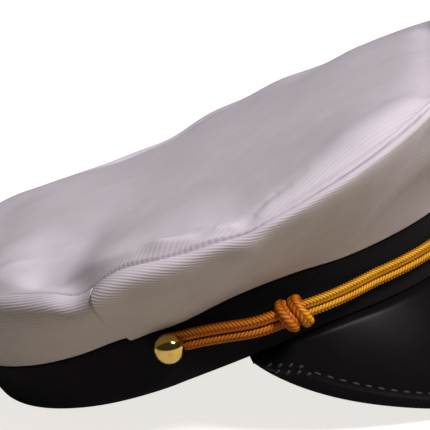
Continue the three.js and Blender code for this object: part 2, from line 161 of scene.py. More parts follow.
def wall(name, grid, thickness, closed=False, pattern=None, normals=None):
    """A closed wall: the grid is its outer face, and its inner face lies one thickness inside."""
    normals = grid_normals(grid, closed) if normals is None else normals
    columns, rows = grid.shape[:2]
    inner = grid - normals * np.asarray(thickness)
    points = placed(np.concatenate([grid.reshape(-1, 3), inner.reshape(-1, 3)]))
    c, r = np.meshgrid(np.arange(columns if closed else columns - 1), np.arange(rows - 1), indexing="ij")
    here, after = c * rows + r, ((c + 1) % columns) * rows + r
    outer = np.stack([here, here + 1, after + 1, after], -1).reshape(-1, 4)
    count = columns * rows
    faces = [outer, outer[:, ::-1] + count]

    def join(a, b):
        """Faces between one edge of the outer grid and the same edge of the inner one."""
        faces.append(np.stack([a, b, b + count, a + count], -1))

    join(here[:, 0], after[:, 0])
    join(after[:, -1] + 1, here[:, -1] + 1)
    if not closed:
        join(here[0] + 1, here[0])
        join(after[-1], after[-1] + 1)
    faces = np.concatenate(faces)
    mesh = mesh_of(name, points, faces)
    if pattern is not None:
        flat = np.tile(np.asarray(pattern, float).reshape(-1, 2), (2, 1))
        uv = mesh.data.uv_layers.new(name="flat_pattern")
        uv.data.foreach_set("uv", (flat[faces.reshape(-1)] / 100).astype(np.float32).ravel())
    return mesh


def add_object(name, data):
    """A new object in the scene for this mesh, light or camera."""
    thing = bpy.data.objects.new(name, data)
    bpy.context.scene.collection.objects.link(thing)
    return thing


def print_counts(thing):
    """Says how fine a finished piece is."""
    print("%-28s %6d points %6d faces" % (thing.name, len(thing.data.vertices), len(thing.data.polygons)))


def mesh_of(name, points, faces):
    """An object from points in metres and faces, smooth, with its faces turned to the outside."""
    data = bpy.data.meshes.new(name)
    data.from_pydata(np.asarray(points).tolist(), [], [list(map(int, face)) for face in faces])
    data.validate()
    volume = bmesh.new()
    volume.from_mesh(data)
    if volume.calc_volume(signed=True) < 0:
        data.flip_normals()
    volume.free()
    data.shade_smooth()
    thing = add_object(name, data)
    print_counts(thing)
    return thing


# %% [markdown]
# ## Materials, and the helpers that make them
#
# A material is a small tree of nodes. One helper adds a node and feeds its inputs, and the short ones after it add
# the nodes that nearly every material has: a sum, noise, stripes, a mix of colours, bumps. Another helper turns
# the sRGB colours in which we name a finish into the linear values that the shader wants. The scale of every rib
# comes from its size in millimetres. The UV maps above are in units of 100 mm.

# %% Material helpers
def linear(code):
    """An sRGB hex colour as linear red, green, blue and alpha."""
    parts = [int(code[i:i + 2], 16) / 255 for i in (1, 3, 5)]
    return [p / 12.92 if p <= 0.04045 else ((p + 0.055) / 1.055) ** 2.4 for p in parts] + [1.0]


def feed(tree, node, **inputs):
    """Gives a node its inputs, by name or as i0, i1 and so on: each is a value, or the socket that feeds it."""
    for key, value in inputs.items():
        key = key.replace("_", " ")
        found = node.inputs[int(key[1:])] if key[0] == "i" and key[1:].isdigit() else node.inputs[key]
        if isinstance(value, bpy.types.NodeSocket):
            tree.links.new(value, found)
        else:
            found.default_value = value
    return node


def add_node(tree, kind, settings=None, **inputs):
    """Adds a node with its inputs. settings are its other properties."""
    node = tree.nodes.new(kind)
    for key, value in (settings or {}).items():
        setattr(node, key, value)
    return feed(tree, node, **inputs)


def new_material(name):
    """An empty material with a Principled shader, and its tree and shader."""
    material = bpy.data.materials.new(name)
    material.use_nodes = True
    tree = material.node_tree
    tree.nodes.clear()
    shader = add_node(tree, "ShaderNodeBsdfPrincipled")
    add_node(tree, "ShaderNodeOutputMaterial", Surface=shader.outputs[0])
    return material, tree, shader


def ramp(tree, factor, stops):
    """A colour ramp from (position, hex colour) stops."""
    node = add_node(tree, "ShaderNodeValToRGB", Fac=factor)
    marks = node.color_ramp.elements
    while len(marks) < len(stops):
        marks.new(0.5)
    for mark, (position, code) in zip(marks, stops):
        mark.position = position
        mark.color = linear(code)
    return node.outputs["Color"]


def maths(tree, operation, *values):
    """One sum on numbers and sockets."""
    inputs = {"i%d" % k: value for k, value in enumerate(values)}
    return add_node(tree, "ShaderNodeMath", {"operation": operation}, **inputs).outputs[0]


def noise(tree, vector, scale, detail, dimensions="3D"):
    """Slow random mottling, with this many spots to a metre of an object or to 100 mm of a flat pattern."""
    return add_node(tree, "ShaderNodeTexNoise", {"noise_dimensions": dimensions}, Vector=vector, Scale=scale,
                    Detail=detail).outputs["Fac"]


def stripes(tree, flat, across, apart, **more):
    """Ribs this many millimetres apart on a flat pattern. At scale 1 a wave repeats after 0.31416 units."""
    return add_node(tree, "ShaderNodeTexWave", {"bands_direction": across}, Vector=flat,
                    Scale=0.31416 / (apart / 100), **more).outputs["Fac"]


def mixed(tree, factor, one, two, blend="MIX"):
    """The first colour where the factor is 0. Where it is 1, the second colour, or the two multiplied."""
    return add_node(tree, "ShaderNodeMix", {"data_type": "RGBA", "blend_type": blend},
                    i0=factor, i6=one, i7=two).outputs[2]


def bumps(tree, height, strength, deep):
    """Bumps this many metres deep."""
    return add_node(tree, "ShaderNodeBump", Height=height, Strength=strength, Distance=deep).outputs[0]


def remap(tree, value, low, high, start, end, kind="LINEAR"):
    """Runs from start to end while the value runs from low to high."""
    return add_node(tree, "ShaderNodeMapRange", {"interpolation_type": kind}, Value=value, i1=low, i2=high,
                    i3=start, i4=end).outputs[0]


# %% [markdown]
# ### White cotton twill
#
# Cap covers are cut from a heavy bleached cotton twill, woven with a raised diagonal rib about every 1.1 mm. It
# is matt, with a faint fuzz that lightens it at a glancing angle, which is what the sheen is for. The ribs are a
# bump along the flat pattern, with a finer bump across them for the single yarns. Slow noise moves the colour,
# and a finer one the height, so that no two places are quite the same.

# %% The twill
RIB = 1.12  # millimetres between the twill's ribs
YARN = 0.55  # between single yarns along a rib


def white_twill(name, rib_heading, relief):
    """White cotton twill whose ribs run at this heading, in degrees, on the flat pattern."""
    material, tree, shader = new_material(name)
    flat = add_node(tree, "ShaderNodeUVMap", {"uv_map": "flat_pattern"}).outputs["UV"]
    turned = add_node(tree, "ShaderNodeMapping", Vector=flat,
                      Rotation=(0, 0, math.radians(90 - rib_heading))).outputs[0]
    ribs = stripes(tree, turned, "X", RIB, Distortion=0.35, Detail=1.0, Detail_Scale=2.0)
    yarns = stripes(tree, turned, "Y", YARN, Distortion=0.8, Detail=2.0, Detail_Scale=3.0)
    fuzz = noise(tree, flat, 220.0, 3.0, "2D")
    height = maths(tree, "MULTIPLY_ADD", fuzz, 0.25, maths(tree, "MULTIPLY_ADD", yarns, 0.16, ribs))
    cloth = ramp(tree, noise(tree, flat, 9.0, 2.0, "2D"), [(0.3, "#e6e2e7"), (0.7, "#ebe8ec")])
    shade = ramp(tree, ribs, [(0.0, "#d9d4d8"), (0.45, "#ffffff")])
    feed(tree, shader, Base_Color=mixed(tree, 0.5 * relief, cloth, shade, "MULTIPLY"),
         Normal=bumps(tree, height, relief, 0.00014), Roughness=0.86, Specular_IOR_Level=0.2,
         Sheen_Weight=0.12, Sheen_Roughness=0.5)
    return material


# %% [markdown]
# ## The crown
#
# The crown is three panels of twill: an oval top, and two side panels that meet in upright seams a little behind
# the wearer's ears. The top hangs from the seam that joins it to the sides as a film does, high at the front,
# rolls over a small lip down into that seam, and carries the dents and folds of a soft cap. Each fold is a row of
# a table: a line from one place to another, how wide it is and how high it stands, or how deep it lies where the
# height is below zero. A cloth simulation would find folds of its own, while a table puts each fold where this cap
# has it.

# %% The seam between the top and the sides
# its mean height, how far it climbs towards the front, and how far towards both the front and the back
SEAM_MEAN, SEAM_FRONT, SEAM_ENDS = 65, 13.5, 6.1
# turn, width in degrees, rise: first the broad dips, which the CAD model has too, then the fine ones
SEAM_DIPS = [(72, 14, -2.2), (97, 6, 2.6), (106.5, 4, -3.0), (125, 12, 2.3), (-72, 28, 2.9), (-125, 20, -3.7)]
FINE_DIPS = [
    (85, 4, 0.9), (78, 3, -0.9), (53, 10, -0.9), (-156, 8, 0.8), (-116, 5, -1.4), (-112, 4, -0.9), (-105, 60, -0.8),
    (-103, 5, 0.9), (-98, 4, -0.5), (-89.6, 4, 0.9), (-79, 5, -1.3), (-35, 22, -0.9)]


def even_seam(turn, reach=1.0):
    """The height of the film between the seam and the crown's middle, before dips and folds."""
    a = np.radians(turn)
    return SEAM_MEAN + reach * SEAM_FRONT * np.cos(a) + reach**2 * SEAM_ENDS * np.cos(2 * a)


def hill(away, wide):
    """1 in the middle, and dying away on both sides."""
    return np.exp(-(away / wide) ** 2)


def seam_dips(turn):
    """What the dips add to the seam's height."""
    return sum(rise * hill(from_front(turn - at), width) for at, width, rise in SEAM_DIPS + FINE_DIPS)


def seam_point(turn):
    """The middle of the groove in which the top meets the sides."""
    return lifted(oval_point(SEAM_OVAL, turn), even_seam(turn) + seam_dips(turn))


print("seam, once round: %.0f mm" % lengths_along(seam_point(np.arange(0, 361)))[-1])


# %% Dents and folds of the top
# from x, y to x, y, half width, rise
BROAD_FOLDS = [
    (-95, 57, 6, 65, 15.3, 1.2),  # soft ridge that starts behind the right side seam
    (-99, 32, -101, 26, 10.9, -5.4),  # the hollow inside that seam
    (-97, 7, -120, -47, 20.5, 6.0),  # the full cloth along the seam in front of it
    (-7, 7, -84, 41, 19.8, -1.8),  # valley that leads away from the hollow
    (-60, -15, -60, 2, 11.9, -0.9),
    (-28, 27, 36, 79, 21.7, 2.5),  # ridge across the back
    (-71, -2, -73, -87, 20.8, 3.0),
    (-5, -9, -35, -64, 33.0, 4.1),  # the full middle
    (68, -62, -5, -71, 31.5, 2.1),
    (-39, -100, -61, -93, 23.3, 3.0),  # the full front edge
    (-63, -126, 81, -106, 8.8, -3.4),  # where it falls to the seam
    (89, 46, 107, 15, 17.1, -3.1),  # dents on the wearer's left
    (57, 26, 101, -28, 21.4, -1.1),
    (47, 104, 81, 62, 30.0, -1.0),
    (116, -60, 54, -108, 24.0, -2.2),
]
FINE_FOLDS = [
    (-106, -60, -68, -110, 8.2, 1.3),  # roll of the stiffened edge
    (-108, -36, -100, -106, 12.8, -3.5),  # the pinch over the right temple
    (-111, -37, -121, -53, 4.5, -2.2),
    (-101, -57, -91, -71, 16.1, 1.2),
    (-65, -32, -109, -42, 7.7, -0.4),
    (-110, -48, -99, -56, 3.9, -0.4),
    (-116, -3, -102, -11, 11.8, -2.4),  # where the full cloth turns down into the seam
    (-74, 49, -90, 38, 10.1, 2.2),  # the hollow's near wall
    (-98, 0, -105, -21, 8.7, -1.5),
    (-112, -22, -120, -39, 5.5, 5.2),
    (-82, -4, -77, 10, 14.4, -1.7),
    (-96, 50, -48, 57, 16.0, 2.4),  # the hollow's far wall
    (-93, 17, -62, 22, 9.0, -1.3),
]
# the line of a sharp crease as x, y points, along which it dies out, its half width and its rise
CREASES = [
    ([(-107, -51), (-106.5, -48), (-105.2, -43), (-103.3, -37), (-98, -30)], 2.2, 0.9),  # the fold into the pinch
    ([(-106.6, -52), (-103, -56), (-99, -60), (-96.2, -64.5), (-93.9, -69), (-91, -75), (-87, -81.5)], 2.4, -0.9),
]
# turn, how far inside the seam a crease runs along it, how deep it is
SEAM_CREASE = np.array([
    (0, 1.0, 0.0), (42, 1.0, 0.0), (50, 1.7, 0.2), (60, 2.3, 0.3), (67, 2.1, 0.2), (73, 1.2, 0.0), (180, 1.0, 0.0)])


def ridge(x, y, fold):
    """The height that one fold adds at a place on the plan."""
    ax, ay, bx, by, wide, rise = fold
    dx, dy = bx - ax, by - ay
    share = np.clip(((x - ax) * dx + (y - ay) * dy) / (dx * dx + dy * dy), 0, 1)
    away = np.hypot(x - ax - share * dx, y - ay - share * dy)
    return rise * hill(away, wide)


def folds(x, y):
    """What all the soft folds and dents add."""
    return sum(ridge(x, y, fold) for fold in BROAD_FOLDS + FINE_FOLDS)


def creases(x, y):
    """What the sharp creases add: each counts once, by the nearest of its stretches, and less towards its end."""
    total = np.zeros_like(x)
    for line, wide, rise in CREASES:
        count = len(line) - 1
        stretches = [ridge(x, y, (*line[k], *line[k + 1], wide, 1 - (k + 0.5) / count)) for k in range(count)]
        total = total + rise * np.max(stretches, axis=0)
    return total


print("the top has %d soft folds and %d creases" % (len(BROAD_FOLDS + FINE_FOLDS), len(CREASES)))


# %% How the top meets the seam
CLOTH, CLOTH_EDGE = 1.2, 0.5  # the twill with its backing, and the bare twill where it turns into a seam
BACKING_FROM, BACKING_TO = 5, 10  # how far from the seam the backing starts and is full
EDGE_OUT = 0.6  # how far the top rolls out over the seam
# turn from the wearer's left to the right, how high the top stands beside the seam, how far and how widely it
# leans down towards it, how high the side panel's edge stands, how far the top rolls down into the seam and
# through how many degrees, and how far inside the seam its folds begin
SEAM_EDGES = np.array([
    (-180, 1.0, 0.9, 1.6, -0.5, 1.6, 90, 4), (10, 1.0, 0.9, 1.6, -0.5, 1.6, 90, 4),
    (25, 1.6, 1.2, 2.2, -0.5, 1.0, 110, 4), (40, 2.8, 1.9, 2.8, 0.1, 0.8, 121, 4),
    (44, 2.8, 1.9, 2.8, -0.5, 0.8, 122, 4), (52, 2.8, 1.9, 2.8, -0.5, 0.8, 123, 4),
    (60, 2.9, 1.9, 2.8, -0.3, 0.8, 123, 4), (64, 2.9, 1.9, 2.8, 0.1, 0.8, 123, 4),
    (72, 2.8, 1.8, 2.6, 0.4, 0.8, 122, 4), (76, 2.3, 1.2, 2.2, 0.3, 0.7, 115, 3.4),
    (79, 2.0, 0.5, 1.4, 0.3, 0.7, 105, 2.6), (82, 1.9, 0.3, 1.2, -0.1, 0.8, 98, 2),
    (86, 2.0, 0.3, 1.2, -0.4, 0.8, 92, 2), (90, 2.0, 0.3, 1.2, 0.3, 0.8, 92, 2),
    (96, 2.0, 0.3, 1.2, -0.2, 0.8, 92, 2), (103, 1.4, 0.6, 1.4, -0.2, 0.9, 90, 3),
    (112, 0.4, 0.5, 1.6, 0.1, 0.7, 90, 4), (135, 0.4, 0.5, 1.6, 0.1, 0.7, 90, 4),
    (180, 1.0, 0.9, 1.6, -0.5, 1.6, 90, 4)])
# turn, how far the edge puffs up beside the seam
PUFF = np.array([
    (0, 0.1), (45, 0.1), (60, 0.2), (70, 0.5), (78, 0.8), (86, 0.5), (95, 0.4), (103, 0.6), (115, 1.0), (130, 0.2),
    (180, 0.4)])
# how far in from the seam its standing up dies away, where the puff starts, and how far in that dies away
EDGE_REACH, PUFF_START, PUFF_REACH = 25, 2.5, 16
CREASE_WIDE = 0.6  # half width of the crease along the seam
TOP_TAIL = np.array([3.0, 1.5])[:, None]  # two rows that go on past the roll, straight into the seam
TOP_COLUMNS, TOP_RINGS, ROLL_RINGS = 480, 80, 10


def smooth(x, low, high):
    """0 below low, 1 above high, and a soft step between them."""
    t = np.clip((np.asarray(x, float) - low) / (high - low), 0, 1)
    return t * t * (3 - 2 * t)


def seam_edge(turn, column):
    """A value from the table of the seam's edges."""
    return np.interp(from_front(turn), SEAM_EDGES[:, 0], SEAM_EDGES[:, column])


# %% The outer face of the top
def crowded_turns(columns, near=75, spread=34, extra=2.4):
    """Turns all round, closer together near the place where the cloth has its finest folds."""
    fine = np.linspace(0, 360, 3601)
    density = 1 + extra * hill(from_front(fine - near), spread)
    total = np.concatenate([[0], np.cumsum((density[1:] + density[:-1]) / 2)])
    return np.interp(np.arange(columns) / columns * total[-1], total, fine)


def top_grid():
    """The outer face of the top: a column for each turn, from the tail inside the seam to the middle point."""
    turn = crowded_turns(TOP_COLUMNS)
    edge = seam_point(turn)
    middle = np.array([0, SEAM_OVAL["centre"], 0])
    across = np.linalg.norm((edge - middle)[:, :2], axis=1)
    crease_in, crease_deep = read(SEAM_CREASE, 1, turn), read(SEAM_CREASE, 2, turn)
    edge_up, lean, lean_wide, edge_down, roll_to, fade = (seam_edge(turn, k) for k in (1, 2, 3, 5, 6, 7))
    # A share below 0 belongs to the roll. From 0 at the seam to 1 in the middle the rings stand further apart.
    roll = np.linspace(-1, 0, ROLL_RINGS, endpoint=False)
    rings = np.expm1(4 * np.linspace(0, 1, TOP_RINGS)) / math.expm1(4)
    rows = []
    for share in np.concatenate([roll, rings]):
        roll_angle = -min(share, 0) * np.radians(roll_to)
        inside = EDGE_OUT * (1 - np.sin(roll_angle)) + (across - EDGE_OUT) * max(share, 0)
        reach = 1 - inside / across
        xy = middle[:2] + (edge - middle)[:, :2] * reach[:, None]
        height = even_seam(turn, reach) + seam_dips(turn) * reach**5 + edge_up * hill(inside, EDGE_REACH)
        puff = (1 - np.exp(-(inside / PUFF_START) ** 1.2)) * hill(inside, PUFF_REACH)
        height = height + read(PUFF, 1, turn) * puff
        height = height + (1 - hill(inside, fade)) * folds(*xy.T) + (1 - hill(inside, 1.5)) * creases(*xy.T)
        height = height - crease_deep * hill(inside - crease_in, CREASE_WIDE)
        # The last millimetres already lean down towards the roll.
        height = height - lean * hill(inside, lean_wide) - edge_down * (1 - np.cos(roll_angle))
        rows.append(np.column_stack([xy, height]))
    grid = np.stack(rows, 1)
    return np.concatenate([grid[:, :1] + unit(grid[:, :1] - grid[:, 1:2]) * TOP_TAIL, grid], axis=1)


# %% The top panel
def cloth_size(grid, closed):
    """The area of a panel's outer face in square metres."""
    ring = np.concatenate([grid, grid[:1]]) if closed else grid
    one, two = ring[1:, 1:] - ring[:-1, :-1], ring[1:, :-1] - ring[:-1, 1:]
    return float(np.linalg.norm(np.cross(one, two), axis=-1).sum() / 2e6)


def join_doubles(thing, distance=1e-6):
    """Points that lie in one place, such as those at the middle of the top, become one."""
    whole = bmesh.new()
    whole.from_mesh(thing.data)
    bmesh.ops.remove_doubles(whole, verts=whole.verts, dist=distance)
    bmesh.ops.dissolve_degenerate(whole, edges=whole.edges, dist=1e-7)
    whole.to_mesh(thing.data)
    whole.free()


top = top_grid()
top_out = grid_normals(top, True)
top_out[:, -1] = unit(top_out[:, -2].mean(0))
top_thickness = CLOTH_EDGE + (CLOTH - CLOTH_EDGE) * smooth(lengths_along(top, 1), BACKING_FROM, BACKING_TO)
crown_top = wall("crown_top_cloth", top, top_thickness[..., None], closed=True, pattern=top[..., :2], normals=top_out)
join_doubles(crown_top)
crown_top.data.materials.append(white_twill("bleached cotton twill, top panel", -58, 0.42))

# %% [markdown]
# ### The side panels
#
# A side panel stands up from the band, swells outwards, and rolls over a soft shoulder into the seam under the
# top. Its outline at each turn is a smooth curve with four control points that runs into the round shoulder, and a
# table gives the curve's handles and the shoulder's radius. Near the front the panel bulges ahead of a slanting
# fold. Laid flat, such a panel is an arc, because the crown is wider above than below; that arc is its flat
# pattern, so the ribs slowly change their slant from the front to the sides.

# %% The outline of a side panel
# how far the side stands out beside the seam, the share of it that it turns back in, and how far down it turns
SHOULDER_OUT, SHOULDER_BACK, SHOULDER_DOWN = 1.1, 0.93, 1.4
SHOULDER_TAIL = 0.6  # how much further down into the seam it goes
HEM_TUCK = 7  # how far the cloth reaches down inside the band
# turn, length of the handle below the shoulder, how steep it is in degrees, length and outward share of the
# handle at the hem, radius of the round shoulder
SIDE_SHAPE = np.array([
    (0, 7, 34, 8, 0.5, 1.0), (28, 9, 90, 8, 0.7, 1.6), (38, 10, 122, 8, 0.74, 1.5), (46, 10, 121, 8, 0.7, 1.5),
    (54, 9, 114, 8, 0.58, 1.5), (62, 8.5, 112, 9, 0.6, 1.6), (74, 8.5, 108, 11, 0.7, 1.7),
    (78, 8, 60, 11, 0.75, 1.5), (82, 8, 30, 11, 0.75, 1.0), (90, 12, 20, 9, 0.75, 0.6), (100, 16, 16, 8, 0.75, 0.4),
    (106, 16, 18, 8, 0.75, 0.4), (125, 13, 24, 8, 0.75, 0.4), (180, 12, 30, 9, 0.75, 0.4)])
SHOULDER_START = 14  # degrees that the shoulder slopes where it comes out of the seam
PATTERN_RADIUS = 196.0  # of the arc that a side panel is cut to


def hem_point(turn, out=0.0, up=0.0):
    """A point beside the band's upper edge: this far outside it and above it."""
    base = oval_point(BAND_OVAL, turn, BAND_FLARE)
    height = read(BAND_HEIGHTS, 1, turn) + read(BAND_HEIGHTS, 2, turn) + up
    return lifted(base, height) + oval_normal(BAND_OVAL, turn) * out


def side_column(low, high, rows=64):
    """Outlines of a side panel: low and high are the turns of each column at the hem and at the seam."""
    out_low, out_high = oval_normal(BAND_OVAL, low), oval_normal(SEAM_OVAL, high)
    inside = -BAND_WALL - GAP - 0.1
    start = hem_point(low, 0.2, 1.0)
    end = seam_point(high) + out_high * SHOULDER_OUT + UP * seam_edge(high, 4)[:, None]
    handle, slope, rise, lean, radius = (read(SIDE_SHAPE, k, high)[:, None] for k in (1, 2, 3, 4, 5))
    slope, first_slope = np.radians(slope), math.radians(SHOULDER_START)

    def round_shoulder(angle):
        """Points of the round shoulder, where the cloth slopes down at this angle."""
        out, down = np.sin(angle) - math.sin(first_slope), math.cos(first_slope) - np.cos(angle)
        return end + radius * (out_high * out - UP * down)

    below = round_shoulder(slope)
    shoulder = [round_shoulder(slope + (first_slope - slope) * k) for k in np.linspace(0, 1, 13)[1:]]
    first = start + rise * (out_low * lean + UP * np.sqrt(1 - lean**2))
    last = below + handle * (out_high * np.cos(slope) - UP * np.sin(slope))
    t = (1 - (1 - np.linspace(0, 1, rows)) ** 1.5)[None, :, None]
    p0, p1, p2, p3 = (p[:, None, :] for p in (start, first, last, below))
    curve = (1 - t) ** 3 * p0 + 3 * (1 - t) ** 2 * t * p1 + 3 * (1 - t) * t**2 * p2 + t**3 * p3
    tuck = [hem_point(low, inside - BAND_FLARE * HEM_TUCK / 24, -HEM_TUCK), hem_point(low, inside, 0.4),
            hem_point(low, -BAND_WALL, 1.0), hem_point(low, -1.0, 0.8)]
    roll = [end - out_high * SHOULDER_OUT * SHOULDER_BACK * math.sin(a) - UP * SHOULDER_DOWN * (1 - math.cos(a))
            for a in np.radians([15, 30, 45, 60, 75, 90])]
    tail = [roll[-1] - UP * SHOULDER_TAIL]
    return np.concatenate([np.stack(tuck, 1), curve, np.stack(shoulder + roll + tail, 1)], axis=1)


# %% The fold near the front
FOLD_SHARES, FOLD_TURNS = (0.3, 0.9), (50, 40)  # its two ends: how far up the panel, and their turns
FOLD_STEP, FOLD_DEEP, FOLD_WIDE = 5, 0.8, 1.2  # degrees in which the bulge grows, and the fold's depth and width
FOLD_BELOW, FOLD_ABOVE = (0.2, 0.5), (0.08, 0.3)  # shares over which it appears, from below and from above
BULGE, BULGE_AT, BULGE_WIDE = 3.2, 0.7, 0.2  # how far the cloth bulges, how far up, and over how much of the way


def side_fold(turn, share):
    """How far out the side stands ahead of its fold, less the depth of the fold."""
    past = np.interp(share, FOLD_SHARES, FOLD_TURNS) - np.abs(from_front(turn))
    full = BULGE * smooth(past, 0, FOLD_STEP) * hill(share - BULGE_AT, BULGE_WIDE)
    shows = smooth(share, *FOLD_BELOW) * smooth(1 - share, *FOLD_ABOVE)
    return full - FOLD_DEEP * hill(past - 0.5, FOLD_WIDE) * shows


# %% The side panels
# How the panels meet in the side seams: both roll in with this radius and tuck in this much further. The front one
# stands a little proud this far from its end, but not near the hem and the seam, and its lower corners sag.
END_ROLL, END_TUCK = 0.5, 0.8
PROUD_REACH, PROUD_BELOW, PROUD_ABOVE = 7, (12, 20), (4, 9)
SAG_REACH, SAG_FROM, SAG_TO, SAG_OUT = 8, (10.5, 11.5), (12, 26), 0.5
END_STEPS = np.array([0, 0, 0.03, 0.12, 0.28, 0.5, 0.8, 1.2, 2.0, 3.0, 4.2])  # millimetres from the end


def side_panel(name, low, high, columns, grain, proud, sag):
    """A side panel between two pairs of turns. proud and sag say how far its ends stand out and drop."""
    length = lengths_along(hem_point(np.linspace(*low, 400)))[-1]
    even = np.linspace(END_STEPS[-1] / length, 1 - END_STEPS[-1] / length, columns)[1:-1]
    share = np.concatenate([END_STEPS / length, even, 1 - END_STEPS[::-1] / length])
    lows, highs = low[0] + (low[1] - low[0]) * share, high[0] + (high[1] - high[0]) * share
    grid = side_column(lows, highs)
    climb = lengths_along(grid, 1)
    from_top = climb[:, -1:] - climb
    from_end = length * np.minimum(share, 1 - share)
    body = smooth(climb, *PROUD_BELOW) * smooth(from_top, *PROUD_ABOVE)
    out = proud * hill(from_end, PROUD_REACH)[:, None] * body + side_fold(highs[:, None], climb / climb[:, -1:])
    turned_in = END_ROLL * (1 - np.sqrt(1 - np.clip(1 - from_end / END_ROLL, 0, 1) ** 2))
    turned_in[[0, -1]] += END_TUCK
    # What is square to the cloth is read from evenly spaced columns, because those at the ends nearly touch.
    even = np.linspace(0, 1, 200)
    square = grid_normals(side_column(np.linspace(*low, 200), np.linspace(*high, 200)), False)
    square = np.array([[np.interp(share, even, line) for line in row.T] for row in square.transpose(1, 0, 2)])
    grid = grid + square.transpose(2, 0, 1) * (out - turned_in[:, None])[..., None]
    lowered = sag * hill(from_end, SAG_REACH)[:, None] * smooth(climb, *SAG_FROM) * (1 - smooth(climb, *SAG_TO))
    grid = grid + (oval_normal(SEAM_OVAL, highs)[:, None, :] * SAG_OUT - UP) * lowered[..., None]
    along = lengths_along(hem_point(lows))[:, None]
    along = (along - along[-1] / 2) / PATTERN_RADIUS
    flat = (PATTERN_RADIUS + climb)[..., None] * np.stack([np.sin(along), np.cos(along)], -1)
    backing = np.minimum(smooth(from_top, BACKING_FROM, BACKING_TO), smooth(from_end, END_ROLL, 6)[:, None])
    panel = wall(name, grid, (CLOTH_EDGE + (CLOTH - CLOTH_EDGE) * backing)[..., None], pattern=flat)
    panel.data.materials.append(white_twill("bleached cotton twill, " + name.replace("_", " "), grain, 0.65))
    cut, area = np.ptp(flat.reshape(-1, 2), axis=0) / 1000, cloth_size(grid, False)
    print("%s, cut to %.3f x %.3f m, area %.4f square metres" % (name, *cut, area))
    return panel, cut, area


# the turns of the right side seam at the hem and at the top, and half the slit between the panels, in degrees
SEAM_LOW, SEAM_HIGH, SLIT = 96, 103.4, 0.05
side_front, front_cut, front_area = side_panel(
    "crown_side_front_cloth", (-SEAM_LOW + SLIT, SEAM_LOW - SLIT), (-SEAM_HIGH + SLIT, SEAM_HIGH - SLIT),
    columns=380, grain=-28, proud=0.6, sag=1.4)
side_back, back_cut, back_area = side_panel(
    "crown_side_back_cloth", (SEAM_LOW + SLIT, 360 - SEAM_LOW - SLIT), (SEAM_HIGH + SLIT, 360 - SEAM_HIGH - SLIT),
    columns=320, grain=34, proud=0.0, sag=0.0)

# %% [markdown]
# ## The band
#
# The band is a stiff oval hoop covered in black mohair braid, a flat woven ribbon with a fine horizontal rib. It
# leans outwards as it rises. A hoop has no folds, so one wall that follows the oval makes it. Black cloth drinks in
# nearly all the light, so its ribs only show at the turn of the hoop, where the sheen of the wool catches a little.

# %% The band
BAND_COLUMNS, BAND_ROWS = 480, 26
BAND_BEVEL = 0.55  # how far the braid turns in at both edges of the band


def black_braid():
    """Black mohair braid with a fine level rib."""
    material, tree, shader = new_material("black mohair braid, woven")
    flat = add_node(tree, "ShaderNodeUVMap", {"uv_map": "flat_pattern"}).outputs["UV"]
    woven = maths(tree, "MULTIPLY", stripes(tree, flat, "Y", 0.9, Distortion=0.4, Detail=1.0),
                  stripes(tree, flat, "X", 0.6, Distortion=0.6, Detail=1.0))
    height = maths(tree, "MULTIPLY_ADD", noise(tree, flat, 150.0, 4.0, "2D"), 0.5, woven)
    # The ramp makes the braid darker where its weave lies low, which is painted shade in the hollows, and mottles it
    # at random with the noise.
    feed(tree, shader, Base_Color=ramp(tree, height, [(0.2, "#060607"), (0.9, "#121214")]),
         Normal=bumps(tree, height, 0.5, 0.0002), Roughness=0.9, Specular_IOR_Level=0.15, Sheen_Weight=0.03)
    return material


def band_point(turn, above, off=0.0):
    """A point on the band, or this far off it, this far above the rim."""
    turn, above = np.broadcast_arrays(np.asarray(turn, float), np.asarray(above, float))
    point = oval_point(BAND_OVAL, turn, BAND_FLARE * above / read(BAND_HEIGHTS, 2, turn))
    return lifted(point, read(BAND_HEIGHTS, 1, turn) + above) + oval_normal(BAND_OVAL, turn) * off


def band_grid():
    """The band's outer face, its flat pattern, and the directions square to the hoop."""
    turn = np.arange(BAND_COLUMNS) * 360 / BAND_COLUMNS
    shows = read(BAND_HEIGHTS, 2, turn)
    share = (1 - np.cos(np.linspace(0, math.pi, BAND_ROWS))) / 2
    grid = np.stack([band_point(turn, shows * s, -BAND_BEVEL * abs(2 * s - 1) ** 14) for s in share], 1)
    flat = np.stack(np.broadcast_arrays(lengths_along(grid[:, 0])[:, None], shows[:, None] * share), -1)
    return grid, flat, np.broadcast_to(oval_normal(BAND_OVAL, turn)[:, None, :], grid.shape)


band_outer, band_flat, band_out = band_grid()
band_hoop = wall("band_braid", band_outer, BAND_WALL - BAND_BEVEL, closed=True, pattern=band_flat, normals=band_out)
band_hoop.data.materials.append(black_braid())

# %% [markdown]
# ## The peak
#
# The peak is pressed from black vinyl sheet over card, which gives it a dark gloss and a raised border that is
# stitched along its inner edge and grows wider towards the corners. The peak follows the rim from corner to
# corner, slopes down steeply and bends a little more towards its edge. Its lip goes up inside the band, where the
# real one is sewn in. It is one wall of rows from its lip to its edge, so the border is only a rise of its face.

# %% The shape of the peak
# Turns and slopes are in degrees. widening says how much the border gains towards the corners, as a share.
PEAK = dict(half_turn=71.6, length=61.5, slope=63.6, bend=16, fullness=2.8, rounding=0.59, splay=0.14, wall=2.2,
            under=1.2, border=5.8, widening=2.8, rise=0.3, lip=7)
PEAK_COLUMNS, FIELD_ROWS, BORDER_ROWS = 320, 30, 14
STEP_TO, ROUND_FROM = 0.3, 0.8  # shares of the border where its step ends and its outer edge starts to round off


def peak_length(share):
    """How far the peak reaches at this share of its half width."""
    return PEAK["length"] * (1 - np.abs(share) ** PEAK["fullness"]) ** PEAK["rounding"]


def peak_border(share):
    """Width of the raised border, which grows wider towards the peak's corners."""
    wide = PEAK["border"] * (1 + PEAK["widening"] * np.abs(share) ** 7)
    return np.minimum(wide, 0.6 * peak_length(share))


